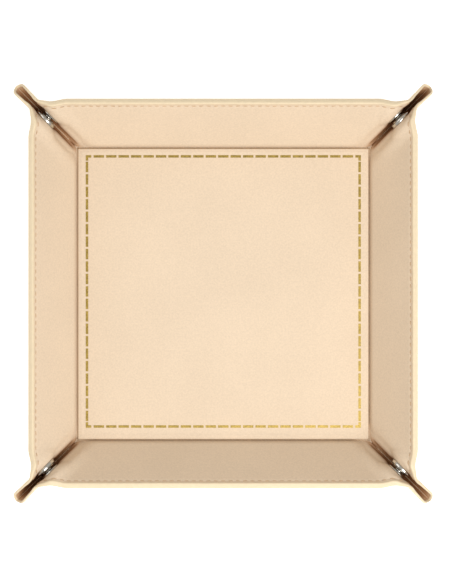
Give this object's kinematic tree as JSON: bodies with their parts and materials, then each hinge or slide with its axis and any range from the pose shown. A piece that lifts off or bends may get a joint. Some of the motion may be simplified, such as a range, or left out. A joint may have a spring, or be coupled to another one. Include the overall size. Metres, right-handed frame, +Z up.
{
  "type": "folding dice tray",
  "caption": "Folding square dice tray: beige leatherette outside, soft microfibre lining, stiffened walls that fold up and snap at the pinched corners, gold dashed border.",
  "frame": {"origin": "on the table under the middle of the floor", "axes": "+X to the right wall, +Y to the back wall, +Z up"},
  "size_m": [0.2286, 0.2286, 0.0334],
  "materials": {
    "cover_leatherette": "satin polyurethane leatherette",
    "lining_microfibre": "matte brushed microfibre",
    "greyboard": "unbleached",
    "sewing_thread": "polyester thread",
    "gold_foil": "hot-stamped foil",
    "nickel_plate": "bright nickel plating",
    "spring_steel": "drawn wire"
  },
  "bodies": {
    "base": {"base_cover": "cover_leatherette", "base_lining": "lining_microfibre", "base_board": "greyboard", "foil_border": "gold_foil"},
    "wall_front": {"wall_front_cover": "cover_leatherette", "wall_front_lining": "lining_microfibre", "wall_front_board": "greyboard", "wall_front_stitching": "sewing_thread"},
    "wall_left": {"wall_left_cover": "cover_leatherette", "wall_left_lining": "lining_microfibre", "wall_left_board": "greyboard", "wall_left_stitching": "sewing_thread"},
    "wall_back": {"wall_back_cover": "cover_leatherette", "wall_back_lining": "lining_microfibre", "wall_back_board": "greyboard", "wall_back_stitching": "sewing_thread"},
    "wall_right": {"wall_right_cover": "cover_leatherette", "wall_right_lining": "lining_microfibre", "wall_right_board": "greyboard", "wall_right_stitching": "sewing_thread"},
    "front_ear_left": {"front_ear_left_cover": "cover_leatherette", "front_ear_left_lining": "lining_microfibre", "front_left_stud_cap": "nickel_plate", "front_left_stud": "nickel_plate"},
    "front_ear_right": {"front_ear_right_cover": "cover_leatherette", "front_ear_right_lining": "lining_microfibre", "front_right_stud_cap": "nickel_plate", "front_right_stud": "nickel_plate"},
    "left_ear_back": {"left_ear_back_cover": "cover_leatherette", "left_ear_back_lining": "lining_microfibre", "back_left_socket_cap": "nickel_plate", "back_left_socket": "nickel_plate", "back_left_spring": "spring_steel"},
    "left_ear_front": {"left_ear_front_cover": "cover_leatherette", "left_ear_front_lining": "lining_microfibre", "front_left_socket_cap": "nickel_plate", "front_left_socket": "nickel_plate", "front_left_spring": "spring_steel"},
    "back_ear_right": {"back_ear_right_cover": "cover_leatherette", "back_ear_right_lining": "lining_microfibre", "back_right_stud_cap": "nickel_plate", "back_right_stud": "nickel_plate"},
    "back_ear_left": {"back_ear_left_cover": "cover_leatherette", "back_ear_left_lining": "lining_microfibre", "back_left_stud_cap": "nickel_plate", "back_left_stud": "nickel_plate"},
    "right_ear_front": {"right_ear_front_cover": "cover_leatherette", "right_ear_front_lining": "lining_microfibre", "front_right_socket_cap": "nickel_plate", "front_right_socket": "nickel_plate", "front_right_spring": "spring_steel"},
    "right_ear_back": {"right_ear_back_cover": "cover_leatherette", "right_ear_back_lining": "lining_microfibre", "back_right_socket_cap": "nickel_plate", "back_right_socket": "nickel_plate", "back_right_spring": "spring_steel"}
  },
  "joints": [
    {"name": "front_wall_fold", "type": "hinge", "parent": "base", "child": "wall_front", "pos_m": [0, -0.082, 0.001], "axis": [1, 0, 0], "range_deg": [0, 54]},
    {"name": "left_wall_fold", "type": "hinge", "parent": "base", "child": "wall_left", "pos_m": [-0.082, 0, 0.001], "axis": [0, -1, 0], "range_deg": [-0.5, 54.5]},
    {"name": "back_wall_fold", "type": "hinge", "parent": "base", "child": "wall_back", "pos_m": [0, 0.082, 0.001], "axis": [-1, 0, 0], "range_deg": [-0.5, 54.5]},
    {"name": "right_wall_fold", "type": "hinge", "parent": "base", "child": "wall_right", "pos_m": [0.082, 0, 0.001], "axis": [0, 1, 0], "range_deg": [-0.5, 54.5]},
    {"name": "front_ear_left_fold", "type": "hinge", "parent": "wall_front", "child": "front_ear_left", "pos_m": [-0.07818, -0.082, 0.001], "axis": [0.5067, 0.5067, -0.6975], "range_deg": [-0.5, 55.61]},
    {"name": "front_ear_right_fold", "type": "hinge", "parent": "wall_front", "child": "front_ear_right", "pos_m": [0.07818, -0.082, 0.001], "axis": [0.5067, -0.5067, 0.6975], "range_deg": [-0.5, 55.61]},
    {"name": "left_ear_back_fold", "type": "hinge", "parent": "wall_left", "child": "left_ear_back", "pos_m": [-0.082, 0.07818, 0.001], "axis": [0.5067, -0.5067, -0.6975], "range_deg": [-0.5, 55.61]},
    {"name": "left_ear_front_fold", "type": "hinge", "parent": "wall_left", "child": "left_ear_front", "pos_m": [-0.082, -0.07818, 0.001], "axis": [-0.5067, -0.5067, 0.6975], "range_deg": [-0.5, 55.61]},
    {"name": "back_ear_right_fold", "type": "hinge", "parent": "wall_back", "child": "back_ear_right", "pos_m": [0.07818, 0.082, 0.001], "axis": [-0.5067, -0.5067, -0.6975], "range_deg": [-0.5, 55.61]},
    {"name": "back_ear_left_fold", "type": "hinge", "parent": "wall_back", "child": "back_ear_left", "pos_m": [-0.07818, 0.082, 0.001], "axis": [-0.5067, 0.5067, 0.6975], "range_deg": [-0.5, 55.61]},
    {"name": "right_ear_front_fold", "type": "hinge", "parent": "wall_right", "child": "right_ear_front", "pos_m": [0.082, -0.07818, 0.001], "axis": [-0.5067, 0.5067, -0.6975], "range_deg": [-0.5, 55.61]},
    {"name": "right_ear_back_fold", "type": "hinge", "parent": "wall_right", "child": "right_ear_back", "pos_m": [0.082, 0.07818, 0.001], "axis": [0.5067, 0.5067, 0.6975], "range_deg": [-0.5, 55.61]}
  ],
  "couplings": [
    {"joint": "left_wall_fold", "follows": "front_wall_fold", "ratio": 1},
    {"joint": "back_wall_fold", "follows": "front_wall_fold", "ratio": 1},
    {"joint": "right_wall_fold", "follows": "front_wall_fold", "ratio": 1},
    {"joint": "front_ear_left_fold", "follows": "front_wall_fold", "ratio": 1.0205},
    {"joint": "front_ear_right_fold", "follows": "front_wall_fold", "ratio": 1.0205},
    {"joint": "left_ear_back_fold", "follows": "front_wall_fold", "ratio": 1.0205},
    {"joint": "left_ear_front_fold", "follows": "front_wall_fold", "ratio": 1.0205},
    {"joint": "back_ear_right_fold", "follows": "front_wall_fold", "ratio": 1.0205},
    {"joint": "back_ear_left_fold", "follows": "front_wall_fold", "ratio": 1.0205},
    {"joint": "right_ear_front_fold", "follows": "front_wall_fold", "ratio": 1.0205},
    {"joint": "right_ear_back_fold", "follows": "front_wall_fold", "ratio": 1.0205}
  ]
}
